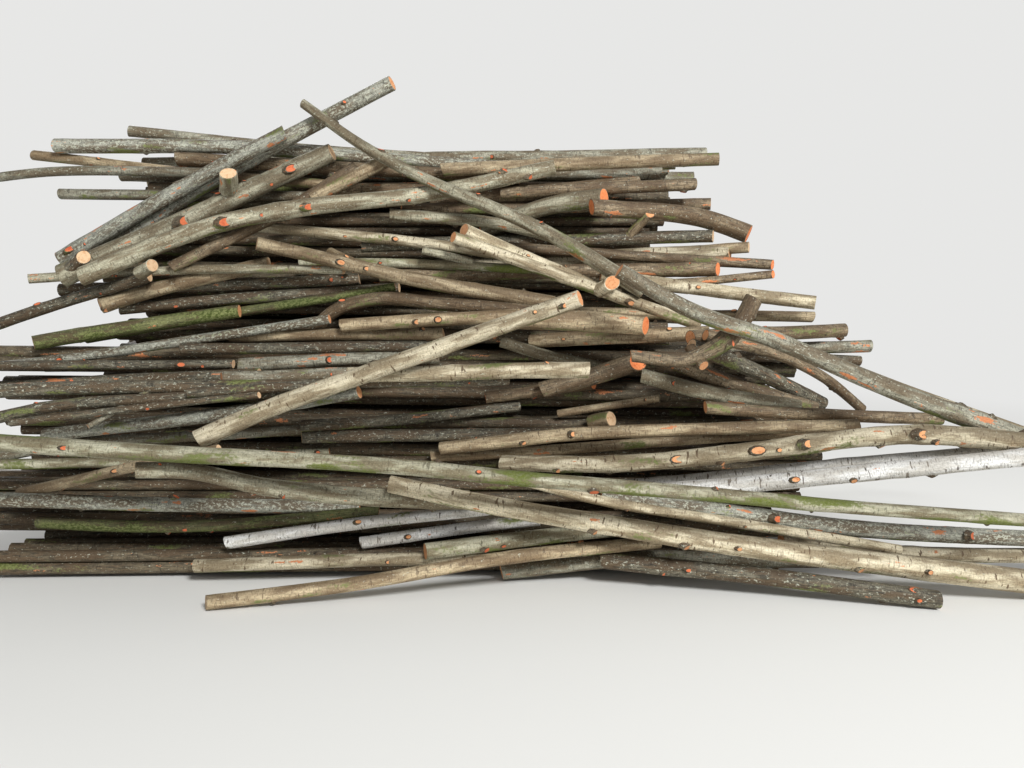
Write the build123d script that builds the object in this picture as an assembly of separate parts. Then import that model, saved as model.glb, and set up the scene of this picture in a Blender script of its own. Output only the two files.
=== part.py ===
"""A loose stack of felled poles and logs, laid lengthwise and left as they fell.

Every log is a tapered pole with flat sawn ends.  Its place is given by where it is seen
from the front (or where it lies on the top or the back), and it is then slid along that
sight line until it rests on the logs laid before it.
"""
from build123d import *
import math
import os
import numpy as np

# Driving dimensions, mm
LOG_GAP = 0.4            # air between two logs that rest on each other
SIDES = 12               # flats around a log
CORE_SIDES = 8           # flats around a log of the core
CORE_LOG = 180.0         # diameter of the logs of the core
CORE_ROW = 170.0         # rise from one row of them to the next
CORE_SKEW = 130.0        # how far a row drifts to the front or back along the stack
CORE_FOOT = 1180.0       # half depth of the core at the ground
CORE_CROWN = 400.0       # half depth of the core at its top
CORE_HEIGHT = 2120.0
CORE_LEFT = 3150.0       # reach of the core to each side of the picture's middle
CORE_RIGHT = 1800.0
CORE_STEP_HEIGHT = 1195.0    # above this, midway between two rows, the core is shorter
CORE_STEP_LEFT = 550.0
CORE_STEP_RIGHT = 750.0
CORE_STAGGER = 340.0     # how much shorter at each end a log of the core may be
END_STEPS = (0.0, 0.62, 0.25, 0.88, 0.38, 1.0, 0.12, 0.75, 0.5)  # shares of that, in turn

# The viewer in front of the stack
EYE_DISTANCE = 5350.0    # from the middle of the stack
EYE_HEIGHT = 1500.0
EYE_TILT = math.radians(5.9)
PICTURE_MIDDLE = (512, 384)  # picture points are counted from the top left corner
PICTURE_FOCUS = 769

# Solver
TRY_SPACING = 25.0       # spacing of the points that are tried along a log
FIRST_GAP = 1.5          # distance kept in the first, round-for-round slide
SLACK = 25.0             # how far the second, flat-for-flat slide may go on
ROUNDS = 10              # steps of that slide
CUTS = 4                 # parts of an edge in which each neighbour's nearest point is sought
FACE_DIP = 30.0          # how far a log may sink behind the core's front past its ends
LET_DOWN = 90.0          # how far a log of the skyline may sink straight down
LEAN_MIDDLE = (0.25, 0.75)   # stretch of a leaning log that its two rests have to bracket
FAR = 9000.0

EYE = np.array([0.0, -EYE_DISTANCE, EYE_HEIGHT])
FORWARD = np.array([0.0, math.cos(EYE_TILT), -math.sin(EYE_TILT)])
UPWARD = np.array([0.0, math.sin(EYE_TILT), math.cos(EYE_TILT)])
DOWN = np.array([0.0, 0.0, -1.0])
INWARD = np.array([0.0, -0.94, -0.34])
FACE_FOOT = np.array([0.0, -CORE_FOOT, 0.0])
FACE_RISE = np.array([0.0, CORE_FOOT - CORE_CROWN, CORE_HEIGHT])
FACE_OUT = np.cross(FACE_RISE, [-1.0, 0, 0]) / np.linalg.norm(FACE_RISE)


def sight(point):
    """Ray from the eye through a picture point, one unit deep."""
    across = (point[0] - PICTURE_MIDDLE[0]) / PICTURE_FOCUS
    up = (PICTURE_MIDDLE[1] - point[1]) / PICTURE_FOCUS
    return FORWARD + up * UPWARD + np.array([across, 0.0, 0.0])


def unit(vector):
    return vector / np.linalg.norm(vector, axis=-1, keepdims=True)


def dot(a, b):
    return np.sum(a * b, axis=-1)


class Bars:
    """Straight round bars, tapered, with balls as ends: what a sliding log can meet."""

    def __init__(self, start, end, start_radius, end_radius):
        self.start, self.end = start, end
        self.start_radius, self.end_radius = start_radius, end_radius

    def reach(self, origin, ray, radius):
        """Distance along each ray at which a ball of the given radius first meets a bar."""
        axis = (self.end - self.start)[None]
        from_start = origin[:, None] - self.start[None]
        from_end = origin[:, None] - self.end[None]
        ray = ray[:, None]
        span, along, offset = dot(axis, axis), dot(axis, ray), dot(axis, from_start)
        place = np.full(offset.shape, 0.5)
        for _ in range(5):
            thick = self.start_radius + (self.end_radius - self.start_radius) * place
            ball = thick + radius[:, None] + FIRST_GAP
            a = span - along ** 2
            b = span * dot(ray, from_start) - offset * along
            c = span * dot(from_start, from_start) - offset ** 2 - ball ** 2 * span
            root = b * b - a * c
            side = np.where(root >= 0, (-b - np.sqrt(np.maximum(root, 0))) / a, np.inf)
            leave = np.where(root >= 0, (-b + np.sqrt(np.maximum(root, 0))) / a, -np.inf)
            spot = (offset + np.where(root >= 0, side, 0) * along) / span
            cap = np.where((spot < 0.5)[..., None], from_start, from_end)
            b2 = dot(ray, cap)
            root2 = b2 * b2 - dot(cap, cap) + ball ** 2
            tip = np.where(root2 >= 0, -b2 - np.sqrt(np.maximum(root2, 0)), np.inf)
            tip_leave = np.where(root2 >= 0, -b2 + np.sqrt(np.maximum(root2, 0)), -np.inf)
            on_side = (spot > 0) & (spot < 1)
            hit = np.where(on_side, side, tip)
            out = np.where(on_side, leave, tip_leave)
            place = np.clip(spot, 0, 1)
        hit = np.where(out < 0, np.inf, np.maximum(hit, 0))
        hit = np.where(np.isnan(hit), np.inf, hit)
        return hit.min(axis=1, initial=np.inf)


def between(p1, q1, p2, q2):
    """Shortest way from each segment p1-q1 to each segment p2-q2, and its place on p1-q1."""
    d1, d2 = (q1 - p1)[:, None], (q2 - p2)[None]
    r = p1[:, None] - p2[None]
    a, e, f = dot(d1, d1), dot(d2, d2), dot(d2, r)
    c, b = dot(d1, r), dot(d1, d2)
    lean = a * e - b * b
    s = np.where(lean > 1e-9 * a * e, (b * f - c * e) / np.maximum(lean, 1e-9), 0.5)
    s = np.clip(s, 0, 1)
    t = np.clip((b * s + f) / e, 0, 1)
    s = np.clip((b * t - c) / a, 0, 1)
    return d2 * t[..., None] - r - d1 * s[..., None], s


def flats(ring, next_ring):
    """Outward normals of the stretch between two rings, ends included."""
    sides = next_ring - ring
    run = unit(sides.mean(axis=0))
    normals = unit(np.cross(np.roll(ring, -1, axis=0) - ring, sides))
    normals *= np.sign(dot(normals, ring - ring.mean(axis=0)))[:, None]
    return np.concatenate([normals, [-run, run]])


def rest(places, limits, middle):
    """Line that stays under all limits and touches two of them around the middle stretch.

    Where more than one line does, it is the one whose foremost end is the deepest.  The
    place midway between its two rests comes with it.
    """
    hull = []
    for i in np.lexsort((limits, places)):
        if hull and places[i] - places[hull[-1]] < 1e-9:
            continue
        while len(hull) > 1:
            a, b = hull[-2], hull[-1]
            turn = ((places[b] - places[a]) * (limits[i] - limits[a])
                    - (limits[b] - limits[a]) * (places[i] - places[a]))
            if turn > 0:
                break
            hull.pop()
        hull.append(i)
    lines = []
    for a, b in zip(hull, hull[1:]):
        if places[b] >= middle[0] and places[a] <= middle[1]:
            slope = (limits[b] - limits[a]) / (places[b] - places[a])
            start = limits[a] - slope * places[a]
            lines.append((min(start, start + slope), start, slope, (places[a] + places[b]) / 2))
    return max(lines)[1:]


class Log:
    """A tapered pole along a bent line of nodes."""

    def __init__(self, group, butt, tip, nodes, sides=SIDES):
        self.group, self.sides = group, sides
        self.points = np.array(nodes, float)
        steps = np.linalg.norm(np.diff(self.points, axis=0), axis=1)
        self.knots = np.concatenate([[0], np.cumsum(steps)]) / steps.sum()
        self.radius = np.interp(self.knots, [0, 1], [butt / 2, tip / 2])
        self.nodes = None

    def spread(self, values, places):
        return np.stack([np.interp(places, self.knots, v) for v in values.T], axis=-1)

    def rings(self):
        """Corners of the cross-section at every node."""
        runs = unit(np.diff(self.nodes, axis=0))
        rings = []
        for i, (node, radius) in enumerate(zip(self.nodes, self.radius)):
            run = unit(runs[max(i - 1, 0)] + runs[min(i, len(runs) - 1)])
            aside = unit(np.cross(run, [0, 0, 1.0] if abs(run[2]) < 0.9 else [1.0, 0, 0]))
            up = np.cross(aside, run)
            turns = np.arange(self.sides) * 2 * math.pi / self.sides
            circle = np.outer(np.cos(turns), up) + np.outer(np.sin(turns), aside)
            rings.append(node + radius * circle)
        return rings

    def bands(self):
        """Pairs of neighbouring rings."""
        rings = self.rings()
        return list(zip(rings, rings[1:]))

    def bars(self):
        return self.nodes[:-1], self.nodes[1:], self.radius[:-1], self.radius[1:]

    def solid(self):
        wires = [Wire.make_polygon([Vector(*p) for p in ring]) for ring in self.rings()]
        return Solid.make_loft(wires, ruled=True)


def band_edges(ring, next_ring, cuts=1):
    """Edges of a stretch, its long ones in so many cuts."""
    way = (next_ring - ring) / cuts
    start = [ring + way * i for i in range(cuts)] + [ring, next_ring]
    end = [ring + way * (i + 1) for i in range(cuts)]
    end += [np.roll(ring, 1, axis=0), np.roll(next_ring, 1, axis=0)]
    return np.concatenate(start), np.concatenate(end)


class Pile:
    """The logs laid so far."""

    def __init__(self):
        self.logs, self.boxes = [], []

    def near(self, low, high):
        """Bars of the logs that reach into a box."""
        parts = [log.bars() for log, (bottom, top) in zip(self.logs, self.boxes)
                 if np.all(bottom <= high) and np.all(top >= low)]
        if not parts:
            return None
        return Bars(*[np.concatenate(column) for column in zip(*parts)])

    def add(self, log):
        reach = log.radius.max() + SLACK
        self.logs.append(log)
        self.boxes.append((log.nodes.min(axis=0) - reach, log.nodes.max(axis=0) + reach))

    def room(self, log, ray, depth):
        """How far each part of a log can go on along its rays before it meets a neighbour.

        Two convex stretches stay apart as long as some plane keeps them apart.  The planes
        tried are the flats of both and the one across their nearest edges.
        """
        reach = log.radius.max() + SLACK
        low, high = log.nodes.min(axis=0) - reach, log.nodes.max(axis=0) + reach
        mine = log.bands()
        spots, room = [], []
        for other, (bottom, top) in zip(self.logs, self.boxes):
            if np.any(bottom > high) or np.any(top < low):
                continue
            ways, _ = between(log.nodes[:-1], log.nodes[1:], other.nodes[:-1], other.nodes[1:])
            close = np.linalg.norm(ways, axis=-1) < other.radius.max() + reach
            theirs = other.bands()
            for i, j in zip(*np.nonzero(close)):
                ring, way = mine[i][0], (mine[i][1] - mine[i][0]) / CUTS
                share = np.linspace(0, 1, CUTS + 1)
                share = share * depth[i + 1] / ((1 - share) * depth[i] + share * depth[i + 1])
                places = log.knots[i] + (log.knots[i + 1] - log.knots[i]) * share
                rays = log.spread(ray, places)
                ways, _ = between(*band_edges(*mine[i], CUTS), *band_edges(*theirs[j]))
                far = np.linalg.norm(ways, axis=-1)
                faces = np.concatenate([flats(*mine[i]), -flats(*theirs[j])])
                corners = np.concatenate(theirs[j])
                for cut in range(CUTS):
                    rows = np.arange(cut * log.sides, (cut + 1) * log.sides)
                    if cut in (0, CUTS - 1):
                        rim = np.arange(log.sides) + (CUTS + (cut > 0)) * log.sides
                        rows = np.append(rows, rim)
                    a, b = np.unravel_index(far[rows].argmin(), far[rows].shape)
                    if far[rows[a], b] > SLACK:
                        continue
                    across = ways[rows[a], b] / max(far[rows[a], b], 1e-9)
                    normals = np.concatenate([[across], faces])
                    plane = (corners @ normals.T).min(axis=0) - LOG_GAP
                    ends = []
                    for step in (cut, cut + 1):
                        gap = plane - ((ring + way * step) @ normals.T).max(axis=0)
                        push = normals @ rays[step]
                        free = np.where(push > 0.02, gap / np.maximum(push, 0.02), SLACK)
                        free = free.clip(0, SLACK)
                        ends.append(np.where(gap > -LOG_GAP, free, -SLACK))
                    best = (np.minimum(*ends) + 0.01 * np.maximum(*ends)).argmax()
                    spots += [places[cut], places[cut + 1]]
                    room += [max(ends[0][best], 0), max(ends[1][best], 0)]
        return np.array(spots), np.array(room)

    def lay(self, log, base, ray, deep=False, stop=FAR, middle=(0.5, 0.5)):
        """Slide a log from its base along its rays until it rests.

        With deep set, the rays spread from the eye: a straight log then has a depth
        whose inverse, not the depth itself, changes evenly along it.  Such a log goes
        no deeper than the plane of the core's front, also past the core's ends.  The two
        rests bracket some place in the middle stretch, given as shares of the length.
        """
        count = max(12, int(np.linalg.norm(np.diff(log.points, axis=0), axis=1).sum()
                            * (7.0 if deep else 1.0) / TRY_SPACING))
        places = np.linspace(0, 1, count)
        origin, rays = log.spread(base, places), log.spread(ray, places)
        pace = np.linalg.norm(rays, axis=1)
        radius = np.interp(places, log.knots, log.radius)
        stops = np.full(count, float(stop))
        if deep:
            clear = CORE_LOG / 2 - FACE_DIP + radius - dot(origin - FACE_FOOT, FACE_OUT)
            stops = clear / dot(rays, FACE_OUT)
        corner = np.concatenate([origin, origin + rays * stops[:, None]])
        bars = self.near(corner.min(axis=0) - radius.max(), corner.max(axis=0) + radius.max())
        reach = bars.reach(origin, rays / pace[:, None], radius) / pace if bars else stops
        sink = np.maximum(-rays[:, 2], 1e-9)
        reach = np.minimum(reach, (origin[:, 2] - radius) / sink)
        reach = np.minimum(reach, stops)
        bend = (lambda t: -1 / t) if deep else (lambda t: t)
        back = (lambda g: -1 / g) if deep else (lambda g: g)
        start, slope, held = rest(places, bend(reach), middle)
        for _ in range(ROUNDS):
            depth = back(start + slope * log.knots)
            log.nodes = base + ray * depth[:, None]
            spots, room = self.room(log, ray, depth if deep else np.ones(len(depth)))
            loose = bend(np.minimum(reach, back(start + slope * places)) + SLACK / pace)
            tight = bend(back(start + slope * spots) + room)
            floor = np.array([ring[:, 2].min() for ring in log.rings()])
            sinks = np.maximum(-ray[:, 2], 1e-9)
            ground = bend(depth + np.minimum(floor / sinks, SLACK))
            start, slope, _ = rest(np.concatenate([places, spots, log.knots]),
                                   np.concatenate([loose, tight, ground]), (held, held))
        log.nodes = base + ray * back(start + slope * log.knots)[:, None]


# Logs seen from the front, from the deepest to the foremost: the group they belong to,
# diameters at both ends in mm, and the picture points of the middle line.  Those along
# the skyline are also let down onto what lies below them.
SKYLINE = [
    ("top_poles", 80, 70, [(330, 190), (600, 188)]),
    ("top_poles", 105, 95, [(430, 197), (640, 180)]),
    ("top_poles", 62, 62, [(33, 155), (156, 169), (330, 185)]),
    ("top_poles", 70, 56, [(128, 131), (300, 148), (430, 157)]),
    ("top_poles", 90, 75, [(55, 146), (234, 145), (389, 156), (530, 164)]),
    ("top_poles", 84, 74, [(176, 158), (350, 167), (520, 177)]),
    ("top_poles", 56, 60, [(-60, 186), (45, 172), (220, 173)]),
    ("pole_on_the_ridge", 84, 78, [(440, 170), (557, 165), (720, 159)]),
]
SEEN = [
    ("top_poles", 65, 65, [(60, 194), (330, 197)]),
    ("top_poles", 76, 72, [(500, 193), (696, 184)]),
    ("right_end_logs", 74, 72, [(400, 210), (713, 204)]),
    ("right_end_logs", 90, 118, [(480, 232), (540, 208), (609, 197)]),
    ("right_end_logs", 96, 116, [(590, 207), (703, 218), (754, 236)]),
    ("right_end_logs", 80, 78, [(360, 246), (716, 236)]),
    ("right_end_logs", 105, 100, [(400, 270), (734, 252)]),
    ("right_end_logs", 62, 62, [(470, 245), (776, 265)]),
    ("right_end_logs", 84, 84, [(380, 276), (722, 269)]),
    ("right_end_logs", 48, 48, [(590, 285), (700, 281), (776, 274)]),
    ("right_end_logs", 74, 80, [(600, 276), (712, 290), (818, 303)]),
    ("right_end_logs", 66, 66, [(560, 312), (814, 317)]),
    ("upper_poles", 66, 60, [(250, 226), (423, 243), (540, 262)]),
    ("upper_poles", 56, 52, [(300, 262), (420, 264), (560, 271)]),
    ("upper_poles", 74, 68, [(60, 290), (219, 285), (360, 279)]),
    ("upper_poles", 70, 66, [(120, 309), (263, 297), (400, 288)]),
    ("upper_poles", 92, 78, [(96, 307), (156, 290), (270, 263)]),
    ("upper_poles", 56, 50, [(26, 279), (201, 269), (345, 270)]),
    ("upper_poles", 72, 70, [(389, 214), (490, 223), (560, 238)]),
    ("upper_poles", 56, 54, [(86, 339), (212, 317), (396, 287)]),
    ("upper_poles", 76, 70, [(460, 228), (534, 261), (620, 296)]),
    ("upper_poles", 66, 66, [(450, 236), (568, 279), (700, 325)]),
    ("pale_curved_pole", 76, 88, [(254, 243), (345, 263), (434, 283), (555, 304)]),
    ("bowed_log", 80, 74, [(309, 337), (333, 312), (372, 299), (445, 304), (540, 312)]),
    ("middle_poles", 70, 70, [(230, 336), (445, 334)]),
    ("middle_poles", 76, 72, [(340, 326), (520, 315)]),
    ("left_poles", 68, 68, [(-70, 349), (58, 304), (150, 276)]),
    ("left_poles", 86, 78, [(29, 344), (107, 330), (240, 311)]),
    ("left_poles", 56, 54, [(-60, 372), (62, 359), (201, 339), (330, 319)]),
    ("left_poles", 56, 52, [(-40, 366), (234, 364)]),
    ("left_poles", 66, 64, [(180, 349), (432, 346)]),
    ("left_poles", 76, 72, [(237, 365), (350, 359), (440, 358)]),
    ("left_poles", 70, 68, [(-50, 389), (110, 381), (260, 374)]),
    ("left_poles", 70, 68, [(220, 378), (420, 371)]),
    ("left_poles", 78, 74, [(-60, 394), (80, 388), (330, 386)]),
    ("left_poles", 66, 60, [(-60, 432), (56, 406), (190, 397), (330, 392)]),
    ("left_poles", 54, 52, [(187, 393), (350, 384), (510, 380)]),
    ("left_poles", 40, 36, [(10, 423), (134, 408), (260, 395)]),
    ("left_poles", 76, 70, [(45, 435), (179, 420), (360, 392)]),
    ("left_poles", 62, 58, [(-60, 470), (60, 446), (183, 437), (330, 428)]),
    ("middle_poles", 74, 72, [(300, 437), (456, 435), (620, 431)]),
    ("middle_poles", 66, 62, [(300, 426), (390, 420), (520, 406)]),
    ("middle_poles", 84, 82, [(530, 341), (600, 337), (711, 333)]),
    ("middle_poles", 110, 108, [(520, 319), (580, 322), (652, 326)]),
    ("middle_poles", 70, 66, [(500, 341), (546, 355), (612, 369)]),
    ("middle_poles", 70, 74, [(485, 398), (540, 391), (597, 383)]),
    ("middle_poles", 96, 112, [(540, 391), (600, 375), (648, 358)]),
    ("middle_poles", 46, 44, [(557, 414), (660, 398)]),
    ("right_poles", 82, 80, [(690, 338), (847, 330)]),
    ("right_poles", 66, 76, [(720, 351), (871, 346)]),
    ("right_poles", 62, 62, [(720, 355), (860, 361)]),
    ("right_poles", 62, 58, [(705, 335), (790, 359), (823, 377), (862, 409)]),
    ("right_poles", 86, 84, [(690, 346), (721, 357), (823, 404)]),
    ("right_poles", 90, 92, [(672, 361), (725, 382), (815, 410)]),
    ("right_poles", 82, 86, [(640, 375), (712, 393), (800, 408)]),
    ("right_poles", 70, 64, [(704, 407), (779, 413), (942, 419)]),
    ("right_poles", 62, 58, [(430, 457), (568, 449), (843, 428)]),
    ("right_poles", 78, 68, [(440, 449), (557, 436), (860, 425)]),
    ("hooked_branch", 62, 92, [(630, 356), (690, 358), (722, 344), (743, 319), (754, 298)]),
    ("pale_pole_end", 80, 84, [(345, 375), (479, 372), (590, 370)]),
    ("diagonal_pole", 96, 86, [(195, 440), (290, 400), (378, 370), (583, 297)]),
    ("left_leaning_poles", 66, 70, [(170, 268), (279, 214), (356, 167)]),
    ("left_leaning_poles", 96, 90, [(90, 258), (263, 151), (394, 82)]),
    ("left_leaning_poles", 96, 84, [(60, 260), (219, 167), (286, 132)]),
    ("left_leaning_poles", 130, 106, [(60, 277), (194, 216), (335, 151)]),
    ("left_leaning_poles", 104, 88, [(80, 277), (223, 223), (300, 208), (434, 192), (556, 167)]),
    ("crossing_pole", 92, 54, [(645, 292), (557, 238), (423, 178), (362, 145), (302, 103)]),
    ("crossing_pole_tail", 50, 44, [(810, 352), (925, 395), (1040, 436)]),
    ("crossing_pole_tail", 78, 98, [(618, 270), (689, 310), (778, 341), (912, 397), (1060, 452)]),
    ("birch_poles", 60, 58, [(600, 487), (685, 480), (823, 465), (1030, 448)]),
    ("scarred_log", 90, 100, [(500, 463), (600, 464), (750, 452), (925, 434), (1060, 447)]),
    ("birch_poles", 88, 84, [(640, 492), (725, 486), (846, 474), (960, 464), (1090, 451)]),
    ("bottom_poles", 58, 56, [(-70, 466), (125, 462), (330, 452)]),
    ("bottom_poles", 60, 52, [(20, 493), (123, 469), (220, 449)]),
    ("bottom_poles", 88, 86, [(500, 572), (618, 560), (820, 560)]),
    ("bottom_poles", 92, 90, [(600, 560), (756, 576), (940, 600)]),
    ("bottom_poles", 84, 84, [(780, 540), (900, 553), (1085, 556)]),
    ("bottom_poles", 80, 76, [(-60, 498), (112, 503), (360, 507)]),
    ("bottom_poles", 68, 64, [(38, 522), (134, 527), (380, 512)]),
    ("bottom_poles", 70, 66, [(225, 543), (350, 525), (500, 508)]),
    ("bottom_poles", 74, 70, [(194, 566), (350, 561), (520, 556)]),
    ("bottom_poles", 68, 66, [(360, 543), (434, 532), (540, 520)]),
    ("bottom_poles", 94, 78, [(423, 552), (501, 541), (640, 528)]),
    ("bottom_poles", 74, 70, [(203, 603), (350, 585), (501, 558), (660, 542)]),
    ("sinuous_log", 80, 106, [(134, 470), (190, 471), (262, 486), (345, 496), (470, 500)]),
    ("front_poles", 92, 90, [(600, 497), (685, 507), (823, 525), (1075, 541)]),
    ("front_poles", 52, 56, [(512, 478), (590, 498), (734, 522), (900, 550)]),
    ("lowest_front_log", 92, 130, [(389, 484), (490, 505), (612, 525), (823, 557), (1085, 588)]),
    ("mossy_front_pole", 88, 62, [(-70, 438), (89, 449), (312, 461), (600, 485), (779, 501), (1075, 524)]),
]

# Logs laid on the top of the core: ends in plan (x, y), and diameter.
CROWN = [((-2450 + 110 * (i % 3), y), (950 + 90 * (i % 4), y + 40 * (-1) ** i), 90 - 6 * (i % 3))
         for i, y in enumerate([-420, -300, -170, -40, 90, 220, 350, -360, -230, -100, 30, 160, 290])]

# Logs leaning on the back of the core: ends in height (x, z), and diameters.
BACK = [
    ((-2900, 260), (1900, 180), 110, 90),
    ((-1200, 330), (2800, 420), 120, 96),
    ((-3050, 560), (900, 700), 90, 76),
    ((-600, 620), (2500, 640), 110, 84),
    ((-2700, 900), (1700, 820), 96, 80),
    ((-2500, 1080), (1200, 1260), 90, 84),
    ((-900, 1200), (2100, 1010), 100, 70),
    ((-2900, 1380), (400, 1480), 84, 72),
    ((-1500, 1560), (1500, 1420), 96, 78),
    ((-2600, 1700), (900, 1840), 90, 70),
    ((-1000, 1950), (1400, 1690), 84, 72),
    ((-2300, 2050), (800, 2080), 96, 84),
    ((-2700, 420), (300, 1900), 90, 70),
    ((-400, 1750), (2500, 300), 84, 64),
]


def core_rows():
    """Both ends of each log of the hidden middle, row by row; they settle further down."""
    rows = int(CORE_HEIGHT / CORE_ROW) + 1
    for row in range(rows):
        height = CORE_LOG / 2 + row * CORE_ROW
        half = CORE_FOOT + (CORE_CROWN - CORE_FOOT) * height / CORE_HEIGHT
        left, right = CORE_LEFT, CORE_RIGHT
        if height > CORE_STEP_HEIGHT:
            left, right = left - CORE_STEP_LEFT, right - CORE_STEP_RIGHT
        drift = CORE_SKEW / (CORE_LEFT + CORE_RIGHT) * (-1) ** row
        count = int(2 * half / (CORE_LOG + 2 * LOG_GAP))
        for i in range(count + 1):
            across = half * (2 * i / count - 1)
            short = END_STEPS[(4 * row + 7 * i) % len(END_STEPS)] * CORE_STAGGER
            other_short = END_STEPS[(5 * row + 2 * i + 3) % len(END_STEPS)] * CORE_STAGGER
            ends = -left + short, right - other_short
            yield [(x, across + drift * x, height) for x in ends]


def stack():
    pile = Pile()

    def push(log, ray, base):
        pile.lay(log, base - ray * 4000, np.tile(ray, (len(base), 1)))
        pile.add(log)

    def look(log):
        rays = np.array([sight(p) for p in log.points])
        pile.lay(log, np.tile(EYE, (len(rays), 1)), rays, deep=True, middle=LEAN_MIDDLE)

    def let_down(log):
        log.points = log.nodes.copy()
        down = np.tile(DOWN, (len(log.points), 1))
        pile.lay(log, log.points, down, stop=LET_DOWN, middle=LEAN_MIDDLE)
        if np.any(log.nodes[:, 2] > log.points[:, 2] + LOG_GAP):
            log.nodes = log.points

    for ends in core_rows():
        log = Log("core", CORE_LOG, CORE_LOG, ends, CORE_SIDES)
        push(log, DOWN, log.points)
    for (x, z), (x2, z2), butt, tip in BACK:
        log = Log("back_logs", butt, tip, [(x, z), (x2, z2)])
        push(log, INWARD, np.array([(x, 1000.0, z), (x2, 1000.0, z2)]))
    for (x, y), (x2, y2), thick in CROWN:
        log = Log("crown_logs", thick, thick - 8, [(x, y), (x2, y2)])
        push(log, DOWN, np.array([(x, y, 1500.0), (x2, y2, 1500.0)]))
    for group, butt, tip, points in SKYLINE:
        log = Log(group, butt, tip, points)
        look(log)
        let_down(log)
        pile.add(log)
    for group, butt, tip, points in SEEN:
        log = Log(group, butt, tip, points)
        look(log)
        pile.add(log)
    return pile


def main():
    pile = stack()
    os.makedirs("parts", exist_ok=True)
    solids = {}
    for log in pile.logs:
        solids.setdefault(log.group, []).append(log.solid())
    corners = np.concatenate([ring for log in pile.logs for ring in log.rings()])
    middle = (corners.min(axis=0) + corners.max(axis=0)) / 2
    place = Location((-middle[0], -middle[1], -corners[:, 2].min()))
    for name, pieces in solids.items():
        node = pieces[0] if len(pieces) == 1 else Compound(pieces)
        export_step(node.moved(place), f"parts/{name}.step")


main()
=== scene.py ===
# %% [markdown]
# # A loose stack of felled poles
#
# The stack is made of poles and logs as they come from a thinning: alder, birch and other
# thin broadleaved wood, trimmed of its branches and thrown on a heap.  The CAD model has
# every log in its place as a plain twelve-sided bar.  This lesson turns each bar into a
# real log with round bark, knots, trimmed branches and sawn ends, and keeps its place.

# %% Load the frame
import math
import random

import bpy
import numpy as np
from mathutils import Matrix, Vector, noise


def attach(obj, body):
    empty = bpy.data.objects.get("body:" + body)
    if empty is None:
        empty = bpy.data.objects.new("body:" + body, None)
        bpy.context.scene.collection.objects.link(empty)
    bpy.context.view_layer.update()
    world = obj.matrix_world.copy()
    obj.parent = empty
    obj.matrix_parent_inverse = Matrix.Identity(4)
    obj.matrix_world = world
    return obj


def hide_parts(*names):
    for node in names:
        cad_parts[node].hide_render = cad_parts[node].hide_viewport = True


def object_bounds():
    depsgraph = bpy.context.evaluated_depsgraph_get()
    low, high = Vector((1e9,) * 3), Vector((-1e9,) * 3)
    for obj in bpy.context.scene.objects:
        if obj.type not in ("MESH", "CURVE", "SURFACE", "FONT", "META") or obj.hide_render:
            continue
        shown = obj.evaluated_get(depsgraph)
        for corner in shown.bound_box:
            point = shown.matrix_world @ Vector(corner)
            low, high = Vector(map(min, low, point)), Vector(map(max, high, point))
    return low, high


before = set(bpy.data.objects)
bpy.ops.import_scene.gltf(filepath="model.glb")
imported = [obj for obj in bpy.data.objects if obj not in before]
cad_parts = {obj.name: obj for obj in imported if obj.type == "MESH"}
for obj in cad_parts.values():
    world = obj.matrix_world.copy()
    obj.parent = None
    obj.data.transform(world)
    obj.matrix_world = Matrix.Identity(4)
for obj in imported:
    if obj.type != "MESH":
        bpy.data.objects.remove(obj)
cad_box = [list(corner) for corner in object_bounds()]
print("nodes:", len(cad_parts), "box:", cad_box)

# %% [markdown]
# ## The camera
#
# The photograph was taken from standing height, about five metres in front of the stack,
# with the camera tipped a little down.  The same eye point was used to lay the logs in the
# CAD model, so the camera only repeats it.

# %% Set the camera
PICTURE_FOCUS = 769
PICTURE_SIZE = (1024, 768)
EYE = Vector((0.21073, -5.05321, 1.5))
EYE_TILT = math.radians(5.9)

camera = bpy.data.objects.new("camera", bpy.data.cameras.new("camera"))
bpy.context.scene.collection.objects.link(camera)
camera.location = EYE
camera.rotation_euler = (math.pi / 2 - EYE_TILT, 0, 0)
camera.data.sensor_width = 36
camera.data.lens = 36 * PICTURE_FOCUS / PICTURE_SIZE[0]
bpy.context.scene.camera = camera


def in_picture(points):
    """Where points of the object fall in the picture, counted from its top left corner."""
    away = np.asarray(points) - np.array(EYE)
    deep = away[:, 1] * math.cos(EYE_TILT) - away[:, 2] * math.sin(EYE_TILT)
    high = away[:, 1] * math.sin(EYE_TILT) + away[:, 2] * math.cos(EYE_TILT)
    across = PICTURE_SIZE[0] / 2 + PICTURE_FOCUS * away[:, 0] / deep
    down = PICTURE_SIZE[1] / 2 - PICTURE_FOCUS * high / deep
    return np.stack([across, down], axis=1)


print("camera lens:", round(camera.data.lens, 2), "mm")

# %% [markdown]
# ## Where the logs lie
#
# Each CAD node holds one or more logs as loose triangles.  A copy is merged and taken apart
# into its loose parts, and every part gives the middle and the thickness of its rings of
# twelve corners.  Reading them here, instead of writing them down again, keeps the finished
# logs exactly on the bars they stand for.

# %% Measure the logs of a node
BAR = (12, 0.036)        # corners round a bar, and metres: edges round it are shorter
CORE_BAR = (8, 0.080)


def select_only(obj):
    bpy.ops.object.select_all(action="DESELECT")
    obj.select_set(True)
    bpy.context.view_layer.objects.active = obj


def rings_of(mesh, corners, sides, ring_edge):
    """The rings of a bar: its corners in sets that short edges tie together."""
    tied = list(range(len(corners)))

    def root(i):
        while tied[i] != i:
            i = tied[i]
        return i

    for edge in mesh.edges:
        a, b = edge.vertices
        if np.linalg.norm(corners[a] - corners[b]) < ring_edge:
            tied[root(a)] = root(b)
    sets = {}
    for i in range(len(corners)):
        sets.setdefault(root(i), []).append(i)
    return [corners[members] for members in sets.values() if len(members) >= sides]


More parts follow.
